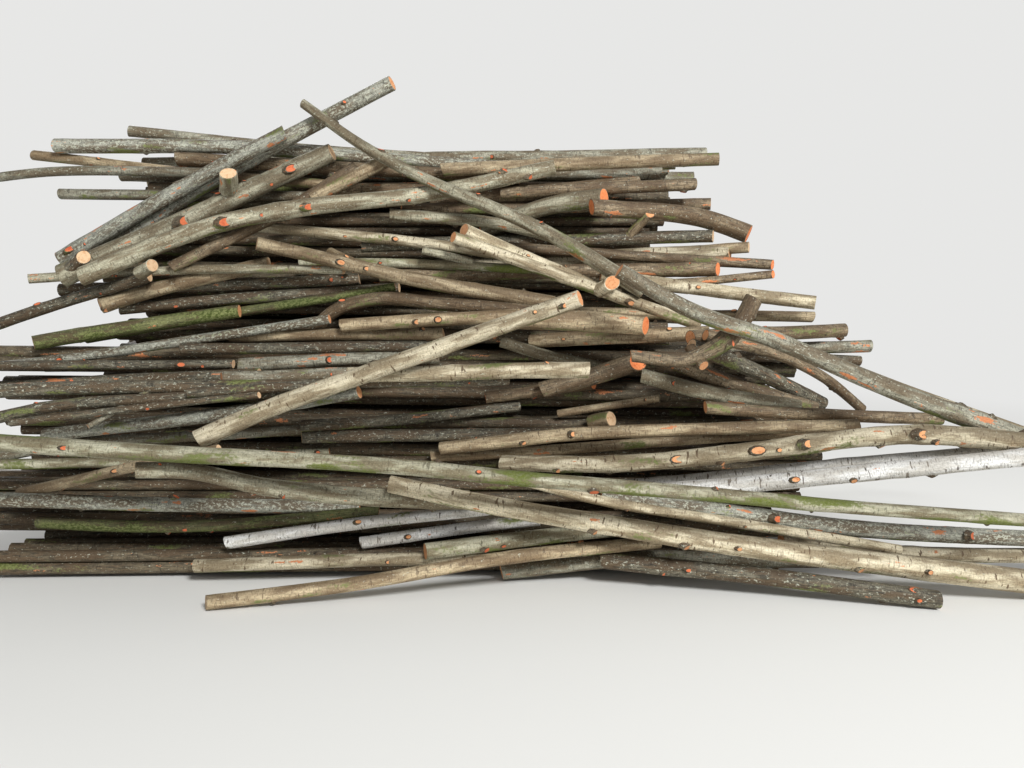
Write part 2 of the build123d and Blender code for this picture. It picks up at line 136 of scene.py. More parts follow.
def measure_logs(node, bar=BAR):
    """Ring middles and radii of each log in a CAD node, from one end to the other."""
    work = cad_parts[node].copy()
    work.data = work.data.copy()
    work.parent = None
    bpy.context.scene.collection.objects.link(work)
    select_only(work)
    bpy.ops.object.mode_set(mode="EDIT")
    bpy.ops.mesh.select_all(action="SELECT")
    bpy.ops.mesh.remove_doubles(threshold=0.0001)
    bpy.ops.mesh.separate(type="LOOSE")
    bpy.ops.object.mode_set(mode="OBJECT")
    logs = []
    for part in list(bpy.context.selected_objects):
        corners = np.array([v.co for v in part.data.vertices])
        main_way = np.linalg.svd(corners - corners.mean(axis=0), full_matrices=False)[2][0]
        rings = sorted(rings_of(part.data, corners, *bar),
                       key=lambda ring: ring.mean(axis=0) @ main_way)
        middles = np.array([ring.mean(axis=0) for ring in rings])
        radii = np.array([np.linalg.norm(r - m, axis=1).mean() for r, m in zip(rings, middles)])
        logs.append((middles, radii))
        bpy.data.objects.remove(part)
    logs.sort(key=lambda log: tuple(np.round(log[0][0], 3)))
    return logs


stack = {node: measure_logs(node) for node in sorted(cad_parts) if node != "core"}
core_logs = measure_logs("core", CORE_BAR)
print("logs:", sum(len(logs) for logs in stack.values()), "and in the core:", len(core_logs))

# %% [markdown]
# ## A log to copy
#
# All logs have the same make-up, so one is modelled and the rest are bent and stretched
# copies.  It starts as a cylinder ten radii long.  Its long edges are subdivided into
# rings, which later follow the log's line, the rims are rounded by a bevel, and the ends
# are inset twice: once for the ring of bark round the wood, and once more so that the saw
# cut can be a little uneven.

# %% Model the pattern log
LOG_PATTERN_LENGTH = 10.0


def select_parts(obj, edge_test=None, face_test=None):
    """Select only the edges or the faces of a mesh that pass a test of their place."""
    mesh = obj.data
    for group in (mesh.vertices, mesh.edges, mesh.polygons):
        group.foreach_set("select", [False] * len(group))
    for edge in mesh.edges if edge_test else ():
        a, b = (mesh.vertices[i].co for i in edge.vertices)
        edge.select = edge_test(a, b)
    for face in mesh.polygons if face_test else ():
        face.select = face_test(face)


def edit(obj, mode, step, **settings):
    """Run one edit-mode operator on the selected edges or faces."""
    select_only(obj)
    bpy.context.tool_settings.mesh_select_mode = (False, mode == "EDGE", mode == "FACE")
    bpy.ops.object.mode_set(mode="EDIT")
    step(**settings)
    bpy.ops.object.mode_set(mode="OBJECT")


def is_end(face):
    return abs(face.normal.z) > 0.99


def pattern_log(name, sides, rings, fine_ends=True):
    bpy.ops.object.select_all(action="DESELECT")
    bpy.ops.mesh.primitive_cylinder_add(vertices=sides, radius=1, depth=LOG_PATTERN_LENGTH,
                                        end_fill_type="NGON",
                                        location=(0, 0, LOG_PATTERN_LENGTH / 2))
    log = bpy.context.object
    bpy.ops.object.transform_apply(location=True)
    log.name = name
    select_parts(log, edge_test=lambda a, b: abs(a.z - b.z) > 1)
    edit(log, "EDGE", bpy.ops.mesh.subdivide, number_cuts=rings)
    if fine_ends:
        select_parts(log, edge_test=lambda a, b: a.z == b.z and a.z in (0, LOG_PATTERN_LENGTH))
        edit(log, "EDGE", bpy.ops.mesh.bevel, offset=0.05, segments=2, affect="EDGES")
    select_parts(log, face_test=is_end)
    edit(log, "FACE", bpy.ops.mesh.inset, thickness=0.05, use_individual=True)
    if fine_ends:
        select_parts(log, face_test=lambda f: is_end(f) and math.hypot(*f.center[:2]) < 0.1)
        edit(log, "FACE", bpy.ops.mesh.inset, thickness=0.4, use_individual=True)
    log.data.materials.append(None)
    log.data.materials.append(None)
    rim = 0.92 if fine_ends else 0.97
    for face in log.data.polygons:
        reach = max(math.hypot(*log.data.vertices[i].co[:2]) for i in face.vertices)
        face.material_index = int(is_end(face) and reach < rim)
    log.hide_render = True
    wood = sum(face.material_index for face in log.data.polygons)
    print(name, "has", len(log.data.polygons), "faces,", wood, "of them sawn wood")
    return log


short_pattern = pattern_log("short_pattern", sides=26, rings=35)
long_pattern = pattern_log("long_pattern", sides=28, rings=63)
inner_pattern = pattern_log("inner_pattern", sides=10, rings=2, fine_ends=False)

# %% [markdown]
# ## A trimmed branch to copy
#
# Side branches were cut off close to the stem, which leaves short stubs with a bright oval
# of fresh wood.  The stub is a cone with its top inset, so that the cut face can take the
# colour of the wood and its rim that of a dark bark, as the collar round a branch has.

# %% Model the pattern stub
def pattern_stub():
    bpy.ops.object.select_all(action="DESELECT")
    bpy.ops.mesh.primitive_cone_add(vertices=10, radius1=1.5, radius2=1.0, depth=2.0,
                                    end_fill_type="NGON", location=(0, 0, 0))
    stub = bpy.context.object
    stub.name = "stub_pattern"
    select_parts(stub, face_test=lambda f: f.normal.z < -0.99)
    edit(stub, "FACE", bpy.ops.mesh.delete, type="FACE")
    select_parts(stub, face_test=is_end)
    edit(stub, "FACE", bpy.ops.mesh.inset, thickness=0.16)
    stub.data.materials.append(None)
    stub.data.materials.append(None)
    for face in stub.data.polygons:
        reach = max(math.hypot(*stub.data.vertices[i].co[:2]) for i in face.vertices)
        face.material_index = int(is_end(face) and reach < 0.93)
    stub.hide_render = True
    print("a stub has", len(stub.data.polygons), "faces")
    return stub


stub_pattern = pattern_stub()

# %% [markdown]
# ## Which bark is on which log
#
# Young alder has smooth grey to olive bark, birch is white with dark marks, older wood in
# the heap is brown, and several poles are green with moss or speckled with lichen.  Logs in
# deep shade get a nearly black bark, which is painted shade.  Each group of logs has a usual
# bark, and single logs that differ are picked by a point on them in the picture.

# %% Name the bark of each log
USUAL_BARK = {
    "back_logs": "grey", "crown_logs": "grey", "top_poles": "grey",
    "pole_on_the_ridge": "tan", "right_end_logs": "brown", "upper_poles": "grey",
    "pale_curved_pole": "tan", "bowed_log": "brown", "middle_poles": "tan",
    # the left poles lie in deep shade, and their dark bark is painted shade
    "left_poles": "dark", "right_poles": "brown", "hooked_branch": "brown",
    "pale_pole_end": "pale", "diagonal_pole": "pale", "left_leaning_poles": "grey",
    "crossing_pole": "grey", "crossing_pole_tail": "pale", "birch_poles": "pale",
    "scarred_log": "pale", "bottom_poles": "grey", "sinuous_log": "olive",
    "front_poles": "pale", "lowest_front_log": "pale", "mossy_front_pole": "mossy",
}
OTHER_BARK = {
    "brown": [(465, 189), (535, 189), (348, 167), (300, 378), (560, 385), (590, 207)],
    "tan": [(623, 265), (687, 314), (430, 320), (600, 337), (568, 449), (557, 436), (107, 468),
            (250, 178), (156, 290), (350, 583)],
    # logs that lie in deep shade, whose nearly black bark is painted shade
    "dark": [(538, 241), (670, 218), (210, 285), (263, 297), (110, 381), (456, 435), (390, 420),
             (770, 580), (721, 357), (62, 520), (234, 364), (62, 359)],
    "olive": [(546, 355), (712, 393), (490, 223), (434, 583), (557, 238), (778, 341), (689, 320),
              (556, 240), (60, 279), (300, 208)],
    "pale": [(703, 290), (534, 261), (568, 279), (900, 553), (134, 335), (420, 556)],
    "mossy": [(420, 264), (501, 541), (395, 243), (125, 462)],
    "green": [(212, 317), (134, 525)],
    "lichen": [(201, 339), (179, 420), (812, 524), (70, 501), (263, 151), (219, 167)],
    "birch": [(846, 474), (350, 525), (434, 532), (823, 465)],
    "grey": [(350, 359), (320, 375), (183, 437), (790, 346), (810, 362)],
}
PICK_REACH = 5.0         # picture points within which a log is picked


def line_through(middles, share):
    """Points on the smooth line through the ring middles, and how they are numbered."""
    steps = np.linalg.norm(np.diff(middles, axis=0), axis=1)
    knots = np.concatenate([[0], np.cumsum(steps)]) / steps.sum()
    slopes = np.gradient(middles, knots, axis=0) if len(knots) > 2 else \
        np.repeat((middles[1:] - middles[:1]), 2, axis=0)
    i = np.clip(np.searchsorted(knots, share, side="right") - 1, 0, len(knots) - 2)
    span = (knots[i + 1] - knots[i])[:, None]
    t = ((share - knots[i])[:, None]) / span
    points = ((2 * t ** 3 - 3 * t ** 2 + 1) * middles[i]
              + (t ** 3 - 2 * t ** 2 + t) * span * slopes[i]
              + (3 * t ** 2 - 2 * t ** 3) * middles[i + 1]
              + (t ** 3 - t ** 2) * span * slopes[i + 1])
    return points, knots, steps.sum()


def bark_of(node, middles):
    best, found = PICK_REACH, USUAL_BARK[node]
    if node in ("back_logs", "crown_logs"):
        return found
    seen = in_picture(line_through(middles, np.linspace(0, 1, 200))[0])
    for bark, points in OTHER_BARK.items():
        for point in points:
            off = np.linalg.norm(seen - np.array(point), axis=1).min()
            if off < best:
                best, found = off, bark
    return found


barks = {node: [bark_of(node, middles) for middles, radii in logs] for node, logs in stack.items()}
for bark in sorted({b for row in barks.values() for b in row}):
    print(bark, sum(row.count(bark) for row in barks.values()))

# %% [markdown]
# ## Dressing one log
#
# The pattern is copied and every corner moved: its height on the pattern tells how far
# along the log it goes, and its angle and radius place it round the log's line.  The line
# wanders a few millimetres, the radius swells at the knots, and the cut at each end is a
# little out of square, as a saw leaves it.  Every corner also remembers where it was on
# the straight log, because bark runs along the log and not along the room.

# %% Bend the pattern to a log
FACED_CUTS = {           # ends whose cut is turned to the viewer, and by how many degrees
    (652, 326): 34, (648, 358): 47, (609, 197): 26, (754, 236): 34, (722, 269): 30,
    (776, 265): 34, (713, 204): 22, (597, 383): 30, (734, 252): 26, (716, 236): 24,
    (847, 330): 24, (335, 151): 20, (394, 82): 16, (29, 344): 30, (26, 279): 26,
    (96, 307): 30, (254, 243): 24, (345, 375): 14, (423, 552): 14, (203, 603): 20,
    (652, 211): 30, (86, 255): 30, (751, 247): 20, (615, 281): 30, (87, 427): 20,
    (583, 297): 20, (450, 236): 30, (460, 228): 34, (714, 159): 12, (818, 303): 20,
}
FRESH_CUTS = [           # ends of alder that are a bright orange
    (652, 326), (648, 358), (609, 197), (754, 236), (597, 383), (722, 269), (776, 265),
]
SLIM = 0.985             # share of the CAD radius, so that lumps stay near the bar's faces
WANDER = 0.10            # share of the radius by which a log strays from its line
LUMPS = 0.05             # share of the radius by which it is out of round
SWELLS = ((1.0, 0.8, 2.2), (0.45, 1.9, 9.0))     # lumps: strength, number round, number per metre
KNOT_RISE = 0.3          # height of the bump at a knot, in the knot's radii
COLLAR_RISE = 0.03       # swelling right round the log at a knot, in the log's radii
THICKEST = (0.9, 1.12)   # bounds of all lumps and knots, in radii
CUT_DEPTH = 2.5          # radii from an end, over which a slanted cut is evened out
CUT_REACH = 9.0          # picture points within which an end is one of those above
SAW_SLANT = (2, 14)      # degrees by which other cuts are out of square
KNOTS_PER_METRE = (1.4, 3.4)
KNOT_SIZE = (0.16, 0.34)     # share of the log's radius
SEEN_SCARS = [           # large scars that show in the picture
    (713, 461), (758, 451), (808, 444), (921, 434), (678, 461),
    (772, 520), (967, 536), (828, 550), (700, 534), (573, 437), (318, 455), (240, 474),
    (186, 219), (227, 224), (324, 213), (308, 206), (331, 360), (63, 359), (183, 362),
    (342, 266), (607, 226), (440, 322), (484, 530), (548, 548),
]
SCAR_REACH = 4.0         # picture points from a log's line within which a scar is on it
SCAR_SIZE = 0.38         # share of the log's radius


def directions(points):
    """Run, side and upward directions at each point of a line."""
    run = np.gradient(points, axis=0)
    run /= np.linalg.norm(run, axis=1)[:, None]
    side = np.cross(run, [0, 0, 1.0])
    side /= np.linalg.norm(side, axis=1)[:, None]
    return run, side, np.cross(side, run)


class LogLine:
    """The line of one log: places along it, its radius and its directions."""

    def __init__(self, middles, radii, dice):
        self.share = np.linspace(0, 1, 240)
        points, knots, self.length = line_through(middles, self.share)
        self.radius = np.interp(self.share, knots, radii) * SLIM
        run, side, up = directions(points)
        bow = np.sin(np.pi * self.share)
        for way in (side, up):
            turns, start = dice.uniform(1.5, 3.5) * self.length / 2.5, dice.uniform(0, 6.3)
            wave = np.sin(turns * 2 * np.pi * self.share * 0.5 + start)
            points = points + way * (WANDER * self.radius * bow * wave)[:, None]
        self.points = points
        self.run, self.side, self.up = directions(points)

    def at(self, share):
        def pick(rows):
            return np.stack([np.interp(share, self.share, column) for column in rows.T], axis=1)
        return pick(self.points), pick(self.run), pick(self.side), pick(self.up), \
            np.interp(share, self.share, self.radius)


def knots_for(line, dice, often=1.0):
    """Places along the log, angles and sizes of its knots."""
    count = max(2, int(line.length * dice.uniform(*KNOTS_PER_METRE) * often))
    return [(dice.uniform(0.04, 0.96), dice.uniform(0, 2 * math.pi), dice.uniform(*KNOT_SIZE))
            for knot in range(count)]


def seen_scars(line):
    """Knots at the scars of the picture that are on this log, turned to the viewer."""
    seen, knots = in_picture(line.points), []
    for point in SEEN_SCARS:
        off = np.linalg.norm(seen - np.array(point), axis=1)
        i = off.argmin()
        if off[i] < SCAR_REACH and 0.03 < line.share[i] < 0.97:
            near = np.array(EYE) - line.points[i]
            angle = math.atan2(near @ line.up[i], near @ line.side[i])
            knots.append((line.share[i], angle, SCAR_SIZE))
    return knots


def cut_slant(line, end, dice):
    """Slope of the cut at an end, and the angle round the log at which it reaches farthest."""
    slant = math.tan(math.radians(dice.uniform(*SAW_SLANT)))
    way = dice.uniform(0, 2 * math.pi)
    here = line.points[end]
    spot = in_picture(here[None])[0]
    for point, degrees in FACED_CUTS.items():
        if np.linalg.norm(spot - np.array(point)) < CUT_REACH:
            away = here - np.array(EYE)
            slant = math.tan(math.radians(degrees))
            way = math.atan2(away @ line.up[end], away @ line.side[end])
            break
    return slant, way


def copy_of(pattern, name):
    new = bpy.data.objects.new(name, pattern.data.copy())
    bpy.context.scene.collection.objects.link(new)
    return new, corners_of(new.data)


def corners_of(mesh):
    corners = np.empty(len(mesh.vertices) * 3)
    mesh.vertices.foreach_get("co", corners)
    return corners.reshape(-1, 3)


def own_marks(dice, low=0.0, high=1.0):
    """Where a log's bark starts in the noise, and its tone."""
    return {"shift": dice.uniform(0, 40), "tone": dice.uniform(low, high)}


def dress_log(pattern, name, line, knots, dice, marks):
    log, corners = copy_of(pattern, name)
    first, last = line.radius[0], line.radius[-1]
    height, top = corners[:, 2], LOG_PATTERN_LENGTH
    rest = line.length - first - last
    along = np.where(height < 1, height * first,
                     np.where(height > top - 1, line.length - (top - height) * last,
                              first + (height - 1) / (top - 2) * rest))
    turn = np.arctan2(corners[:, 1], corners[:, 0])
    out = np.hypot(corners[:, 0], corners[:, 1])
    for end, thick in ((0.0, first), (line.length, last)):
        slant, way = cut_slant(line, -1 if end else 0, dice)
        near = np.clip(1 - np.abs(along - end) / (CUT_DEPTH * thick), 0, 1)
        cut = slant * thick * (1 - out * np.cos(turn - way)) * near
        along = along + cut if end == 0 else along - cut
    points, run, side, up, thick = line.at(along / line.length)
    seed = Vector((dice.uniform(0, 90), dice.uniform(0, 90), dice.uniform(0, 90)))
    swell = np.array([
        sum(strength * noise.noise(
                Vector((math.cos(a) * wide, math.sin(a) * wide, d * often)) + seed)
            for strength, wide, often in SWELLS)
        for a, d in zip(turn, along)])
    size = 1 + LUMPS * swell
    for share, angle, wide in knots:
        apart = (along - share * line.length) / thick
        around = (turn - angle + np.pi) % (2 * np.pi) - np.pi
        size = size + KNOT_RISE * wide * np.exp(-(apart / 0.9) ** 2 - (around / 0.6) ** 2)
        size = size + COLLAR_RISE * np.exp(-(apart / 0.8) ** 2)
    reach = (out * thick * np.clip(size, *THICKEST))[:, None]
    places = points + reach * (np.cos(turn)[:, None] * side + np.sin(turn)[:, None] * up)
    log.data.vertices.foreach_set("co", places.ravel())
    straight = np.stack([out * thick * np.cos(turn), out * thick * np.sin(turn),
                         along + marks["shift"]], axis=1)
    remember(log.data, straight, marks["tone"])
    return log


def remember(mesh, straight, tone):
    """Store where each corner is on the straight log, and the log's own tone."""
    place = mesh.attributes.new("log_place", "FLOAT_VECTOR", "POINT")
    place.data.foreach_set("vector", straight.ravel())
    tones = mesh.attributes.new("log_tone", "FLOAT", "POINT")
    tones.data.foreach_set("value", [tone] * len(straight))


# %% [markdown]
# ## Setting the stubs
#
# A stub leans towards the tip of its log, as branches do, and is cut nearly flush.  It is
# set with its foot inside the wood, so that no gap shows round it.  Most knots are placed by
# chance, and some have grown over, without a stub.  The large scars that the photograph
# shows are in their places, turned to the viewer.

# %% Place the stubs of a log
NO_STUB = 0.25           # share of the knots that have grown over
STUB_LEAN = (5, 40)      # degrees towards the tip
STUB_TALL = (0.004, 0.014)   # metres that it stands out
STUB_WIDE = (0.95, 1.4)      # its radius, in that of its knot
STUB_OVAL = (1.1, 2.0)       # how much longer than wide


def dress_stubs(name, line, knots, dice, marks):
    stubs = []
    for number, (share, angle, wide) in enumerate(knots):
        if wide < SCAR_SIZE and dice.random() < NO_STUB:
            continue
        points, run, side, up, thick = (rows[0] for rows in line.at(np.array([share])))
        away = math.cos(angle) * side + math.sin(angle) * up
        lean = math.radians(dice.uniform(*STUB_LEAN))
        axis = math.cos(lean) * away + math.sin(lean) * run
        across = np.cross(axis, run)
        across /= np.linalg.norm(across)
        other = np.cross(across, axis)
        stub, corners = copy_of(stub_pattern, f"{name}_stub_{number}")
        size = wide * thick * dice.uniform(*STUB_WIDE)
        tall = dice.uniform(*STUB_TALL)
        foot = points + away * thick * 0.96 + axis * tall
        upward = np.where(corners[:, 2] > 0, 0.0, -0.55 * thick)[:, None]
        along = dice.uniform(*STUB_OVAL)
        oval = corners[:, :1] * across + along * corners[:, 1:2] * other
        places = foot + size * oval + upward * axis
        stub.data.vertices.foreach_set("co", places.ravel())
        straight = np.stack([corners[:, 0] * size, corners[:, 1] * size,
                             share * line.length + marks["shift"] + corners[:, 2] * size], axis=1)
        remember(stub.data, straight, marks["tone"])
        stubs.append(stub)
    return stubs


# %% [markdown]
# ## Branches and short ends
#
# A few stubs, forks and broken ends belong to no bar of the CAD model.  Each grows out of
# the nearest log of its node: it starts inside that log and ends at a point of the picture,
# so much nearer to the viewer.

# %% Place the branches
BRANCHES = {             # node: foot and end in the picture, metres nearer, diameter, bark
    "left_leaning_poles": [
        ((228, 194), (228, 172), 0.17, 0.105, "olive"),
        # a branch among the shaded left poles, whose dark bark is painted shade
        ((62, 277), (86, 255), 0.06, 0.080, "dark"),
        ((312, 199), (391, 158), 0.00, 0.085, "tan"),
        ((138, 274), (153, 265), 0.10, 0.075, "olive"),
    ],
    "upper_poles": [
        ((472, 262), (422, 250), 0.06, 0.050, "olive"),
        ((598, 291), (615, 281), 0.10, 0.085, "pale"),
        ((330, 252), (352, 262), 0.12, 0.060, "tan"),
    ],
    "right_end_logs": [
        ((627, 238), (652, 211), 0.12, 0.062, "brown"),
        ((690, 252), (751, 247), 0.02, 0.070, "tan"),
    ],
    "left_poles": [((156, 387), (87, 427), 0.08, 0.030, "grey")],
    "right_poles": [((690, 347), (704, 366), 0.10, 0.060, "brown")],
    "middle_poles": [((590, 424), (612, 419), 0.10, 0.100, "tan")],
}
BRANCH_TAPER = 0.94


def on_sight(point, away):
    """Point of the room seen at a picture point, so many metres deep."""
    across = (point[0] - PICTURE_SIZE[0] / 2) / PICTURE_FOCUS
    high = (PICTURE_SIZE[1] / 2 - point[1]) / PICTURE_FOCUS
    forward = np.array([0, math.cos(EYE_TILT), -math.sin(EYE_TILT)])
    upward = np.array([0, math.sin(EYE_TILT), math.cos(EYE_TILT)])
    return np.array(EYE) + away * (forward + high * upward + np.array([across, 0, 0]))


def depth_of(logs, point):
    """How deep the nearest of the logs lies at a picture point."""
    found = []
    for middles, radii in logs:
        line = line_through(middles, np.linspace(0, 1, 200))[0]
        off = np.linalg.norm(in_picture(line) - np.array(point), axis=1)
        spot = line[off.argmin()] - np.array(EYE)
        found.append((off.min(), spot[1] * math.cos(EYE_TILT) - spot[2] * math.sin(EYE_TILT)))
    return min(found)[1]


def grow_branch(node, logs, number, dice):
    foot, end, nearer, thick, bark = BRANCHES[node][number]
    deep = depth_of(logs, foot)
    middles = np.array([on_sight(foot, deep), on_sight(end, deep - nearer)])
    line = LogLine(middles, np.array([thick, thick * BRANCH_TAPER]) / 2, dice)
    marks = own_marks(dice, 0.4, 0.9)
    branch = dress_log(short_pattern, f"{node}_branch_{number}", line, [], dice, marks)
    give_materials(branch, bark)
    return branch


# %% [markdown]
# ## Effects that the barks share
#
# All barks are made by one node group, given other colours and amounts.  It mixes a main
# and a dark colour along stretched noise, scatters short cross-wise lines, the pores of
# young bark, and rarer, larger eyes where twigs have grown over.  Stains, lichen, moss and
# bare rubbed wood are laid over it by masks.  A procedural group was chosen over painted
# pictures because it fits any length of log.

# %% Small helpers for node trees
def colour(red, green, blue):
    """A colour as seen on a screen, from 0 to 255, as shader values."""
    channels = [c / 255 for c in (red, green, blue)]
    linear = [c / 12.92 if c <= 0.04045 else ((c + 0.055) / 1.055) ** 2.4 for c in channels]
    return (*linear, 1.0)


def put(tree, kind, inputs=None, **settings):
    """Add a shader node.  Inputs are values, or sockets to be linked."""
    new = tree.nodes.new("ShaderNode" + kind)
    for name, value in settings.items():
        setattr(new, name, value)
    for key, value in (inputs or {}).items():
        if isinstance(value, bpy.types.NodeSocket):
            tree.links.new(value, new.inputs[key])
        else:
            new.inputs[key].default_value = value
    return new


def math_node(tree, operation, a, b=0.0, c=0.0):
    return put(tree, "Math", {0: a, 1: b, 2: c}, operation=operation).outputs[0]


def stretch(tree, vector, x, y, z):
    return put(tree, "VectorMath", {0: vector, 1: (x, y, z)}, operation="MULTIPLY").outputs[0]


def cloud(tree, vector, detail=2.0, rough=0.55):
    """Soft noise of unit size in the given coordinates."""
    return put(tree, "TexNoise", {"Vector": vector, "Scale": 1.0, "Detail": detail,
                                  "Roughness": rough}).outputs[0]


def mask(tree, value, low, high):
    """0 below low, 1 above high, smooth between."""
    return put(tree, "MapRange", {"Value": value, "From Min": low, "From Max": high},
               interpolation_type="SMOOTHSTEP").outputs[0]


def mix(tree, factor, a, b, blend="MIX"):
    node = put(tree, "Mix", {0: factor, 6: a, 7: b}, data_type="RGBA", blend_type=blend)
    return node.outputs[2]


def new_group(name, inputs, outputs):
    """A node group with named sockets: inputs as name and default, outputs as name and kind."""
    group = bpy.data.node_groups.new(name, "ShaderNodeTree")
    for label, value in inputs.items():
        kind = "NodeSocketColor" if isinstance(value, tuple) else "NodeSocketFloat"
        group.interface.new_socket(label, in_out="INPUT", socket_type=kind).default_value = value
    for label, kind in outputs.items():
        group.interface.new_socket(label, in_out="OUTPUT", socket_type=kind)
    start, end = group.nodes.new("NodeGroupInput"), group.nodes.new("NodeGroupOutput")
    return group, start.outputs, end.inputs


# %% Build the bark group
def build_bark_group():
    group, given, result = new_group(
        "bark_surface",
        {"Main": colour(140, 135, 118), "Dark": colour(70, 62, 50), "Light": colour(185, 182, 165),
         "Pores": 0.4, "Eyes": 0.6, "Lichen": 0.1, "Moss": 0.1, "Moss Colour": colour(98, 105, 52),
         "Bare": 0.05, "Bare Wood": colour(206, 134, 90), "Furrows": 0.5,
         "Stains": 0.55, "Stain Colour": colour(104, 84, 62)},
        {"Colour": "NodeSocketColor", "Roughness": "NodeSocketFloat", "Height": "NodeSocketFloat"})
    place = put(group, "Attribute", attribute_name="log_place").outputs["Vector"]
    tone = put(group, "Attribute", attribute_name="log_tone").outputs["Fac"]
    sky = put(group, "Attribute", attribute_name="sky_side").outputs["Fac"]

    patches = cloud(group, stretch(group, place, 20, 20, 4), detail=2)
    streaks = cloud(group, stretch(group, place, 130, 130, 20), detail=2, rough=0.65)
    pores = cloud(group, stretch(group, place, 45, 45, 170), detail=0)
    speckle = cloud(group, stretch(group, place, 85, 85, 55), detail=3, rough=0.65)

    # light and main tones, then dark furrows, pores and eyes
    base = mix(group, mask(group, patches, 0.35, 0.68), given["Main"], given["Light"])
    furrow = math_node(group, "MULTIPLY", mask(group, streaks, 0.40, 0.66), given["Furrows"])
    base = mix(group, furrow, base, given["Dark"])
    pore = math_node(group, "MULTIPLY", mask(group, pores, 0.60, 0.72), given["Pores"])
    base = mix(group, pore, base, given["Dark"])
    eyes = cloud(group, stretch(group, place, 19, 19, 62), detail=1)
    eye = math_node(group, "MULTIPLY", mask(group, eyes, 0.66, 0.72), given["Eyes"])
    base = mix(group, eye, base, given["Dark"])

    # stains where the patches are darkest
    stain = math_node(group, "MULTIPLY_ADD", streaks, 0.5, patches)
    stain = math_node(group, "MULTIPLY", mask(group, stain, 0.80, 0.68), given["Stains"])
    base = mix(group, stain, base, given["Stain Colour"])

    # spots of lichen, wood rubbed bare, and moss, each over the last
    spots = math_node(group, "MULTIPLY_ADD", given["Lichen"], 0.36, speckle)
    spots = math_node(group, "MULTIPLY", mask(group, spots, 0.64, 0.76), 0.8)
    base = mix(group, spots, base, colour(188, 190, 172))
    worn = math_node(group, "MULTIPLY_ADD", speckle, 0.25, patches)
    worn = math_node(group, "MULTIPLY_ADD", given["Bare"], 0.45, worn)
    worn = mask(group, worn, 0.845, 0.87)
    base = mix(group, worn, base, given["Bare Wood"])
    green = cloud(group, stretch(group, place, 14, 14, 3.2), detail=1)
    green = math_node(group, "MULTIPLY_ADD", speckle, 0.45, green)
    green = math_node(group, "MULTIPLY_ADD", sky, 0.05, green)
    green = math_node(group, "MULTIPLY_ADD", given["Moss"], 0.55, green)
    green = mask(group, green, 0.91, 1.03)
    fresh = mix(group, mask(group, speckle, 0.4, 0.6), given["Moss Colour"], colour(120, 126, 78))
    base = mix(group, green, base, fresh)

    # the log's own tone, a darker underside that is partly damp bark and partly painted shade,
    # and a fine mottle
    bright = put(group, "MapRange", {"Value": tone, "To Min": 0.80, "To Max": 1.14}).outputs[0]
    # darker where the surface faces down: painted shade, with some damp bark
    underside_damp_and_shade = put(group, "MapRange", {"Value": sky, "From Min": -1.0, "From Max": 0.1,
                                    "To Min": 0.55, "To Max": 1.0}).outputs[0]
    bright = math_node(group, "MULTIPLY", bright, underside_damp_and_shade)
    fine = cloud(group, stretch(group, place, 170, 170, 110), detail=2, rough=0.7)
    mottle = put(group, "MapRange", {"Value": fine, "From Min": 0.35, "From Max": 0.65,
                                     "To Min": 0.80, "To Max": 1.12}).outputs[0]
    bright = math_node(group, "MULTIPLY", bright, mottle)
    tint = put(group, "CombineColor", {0: bright, 1: bright, 2: bright}).outputs[0]
    group.links.new(mix(group, 1.0, base, tint, "MULTIPLY"), result["Colour"])

    rough = math_node(group, "MULTIPLY_ADD", green, 0.2, 0.68)
    group.links.new(rough, result["Roughness"])
    relief = math_node(group, "MULTIPLY", speckle, 0.35)
    relief = math_node(group, "MULTIPLY_ADD", streaks, -0.6, relief)
    group.links.new(relief, result["Height"])
    print("bark group:", len(group.nodes), "nodes")
    return group


bark_group = build_bark_group()
